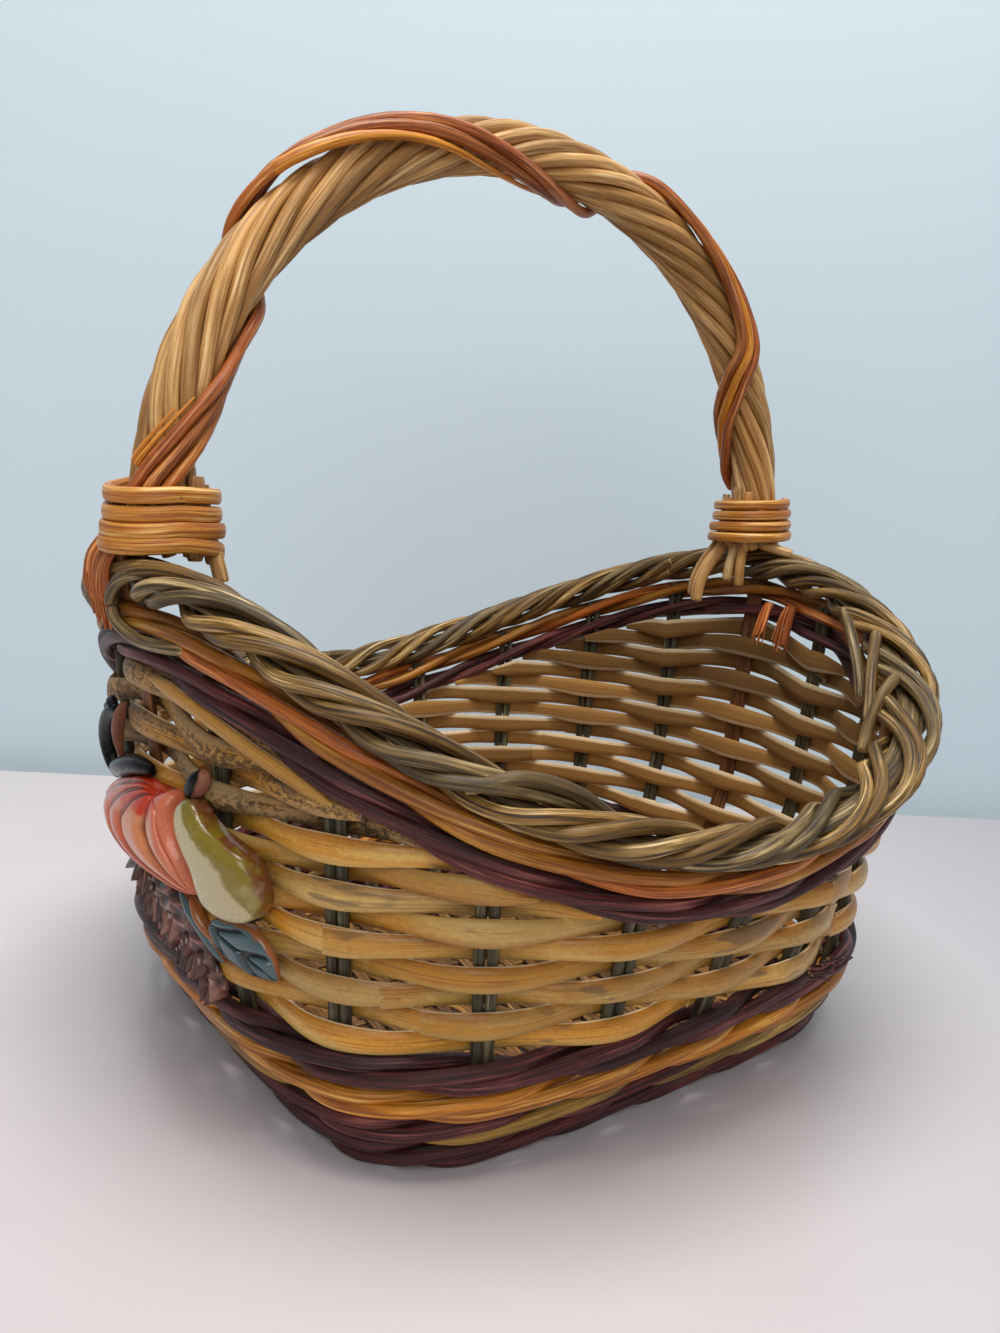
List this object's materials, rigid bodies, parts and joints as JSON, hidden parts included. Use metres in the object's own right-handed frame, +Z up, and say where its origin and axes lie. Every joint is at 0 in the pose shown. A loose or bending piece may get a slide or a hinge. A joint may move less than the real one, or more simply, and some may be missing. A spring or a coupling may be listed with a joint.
{
  "type": "harvest basket",
  "caption": "Woven harvest basket with a square foot, saddle-shaped oval rim, twisted bow handle lashed at both ends and a fruit ornament on one end.",
  "frame": {"origin": "on the floor, under the middle of the basket's bounding box", "axes": "+Z up; X along the span of the handle, with the fruit ornament on the -X end; Y across the handle"},
  "size_m": [0.3258, 0.328, 0.3482],
  "materials": {
    "split_liner": "rough split cane, brown",
    "stake_rod": "matt dark grey-green bark",
    "floor_cane": "rough brown woven cane",
    "plum_rod": "dyed plum, satin",
    "olive_rod": "undyed olive bark, satin",
    "orange_rod": "dyed orange, satin",
    "rust_rod": "dyed rust, satin",
    "border_rod": "grey-olive bark, satin",
    "split_strip": "golden tan split cane, varnished bark side",
    "bark_strip": "mottled brown bark, satin",
    "bow_cane": "pale tan peeled cane, satin",
    "gold_rod": "golden brown, satin",
    "lashing_cane": "golden orange flat cane, satin",
    "pumpkin_glaze": "glossy coral red fading to peach",
    "stem_glaze": "glossy near black",
    "pear_glaze": "glossy cream with an olive edge",
    "leaf_glaze": "glossy slate teal",
    "cone_paint": "matt dark brown"
  },
  "bodies": {
    "root": {"handle_leg_far": "split_liner", "handle_leg_near": "split_liner", "stake_pair_01": "stake_rod", "stake_pair_02": "stake_rod", "stake_pair_03": "stake_rod", "stake_pair_04": "stake_rod", "stake_pair_05": "stake_rod", "stake_pair_06": "stake_rod", "stake_pair_07": "stake_rod", "stake_pair_08": "stake_rod", "stake_pair_09": "stake_rod", "stake_pair_11": "stake_rod", "stake_pair_12": "stake_rod", "stake_pair_13": "stake_rod", "stake_pair_14": "stake_rod", "stake_pair_15": "stake_rod", "stake_pair_16": "stake_rod", "stake_pair_17": "stake_rod", "stake_pair_18": "stake_rod", "stake_pair_19": "stake_rod", "woven_floor": "floor_cane", "foot_wale_rod_1": "plum_rod", "foot_wale_rod_2": "plum_rod", "olive_wale_rod_1": "olive_rod", "olive_wale_rod_2": "plum_rod", "lower_orange_wale_rod_1": "orange_rod", "lower_orange_wale_rod_2": "orange_rod", "lower_plum_wale_rod_1": "plum_rod", "lower_plum_wale_rod_2": "plum_rod", "upper_plum_wale_rod_1": "plum_rod", "upper_plum_wale_rod_2": "plum_rod", "upper_orange_wale_rod_1": "orange_rod", "upper_orange_wale_rod_2": "rust_rod", "border_strand_1": "border_rod", "border_strand_2": "border_rod", "border_strand_3": "border_rod", "woven_strip_1": "split_strip", "woven_strip_2": "split_strip", "woven_strip_3": "split_strip", "woven_strip_4": "split_strip", "woven_strip_5": "split_strip", "packing_strip_near_1": "split_strip", "packing_strip_near_2": "split_strip", "packing_strip_near_3": "bark_strip", "packing_strip_near_4": "bark_strip", "packing_strip_far_1": "split_strip", "packing_strip_far_2": "split_strip", "packing_strip_far_3": "bark_strip", "packing_strip_far_4": "bark_strip", "handle_bow": "bow_cane", "handle_winding_rust": "rust_rod", "handle_winding_gold": "gold_rod", "lashing_near": "lashing_cane", "lashing_far": "lashing_cane", "ornament_pumpkin": "pumpkin_glaze", "ornament_vine": "stem_glaze", "ornament_pear": "pear_glaze", "ornament_pear_stem": "stem_glaze", "ornament_leaf": "leaf_glaze", "ornament_cone": "cone_paint"}
  },
  "joints": []
}
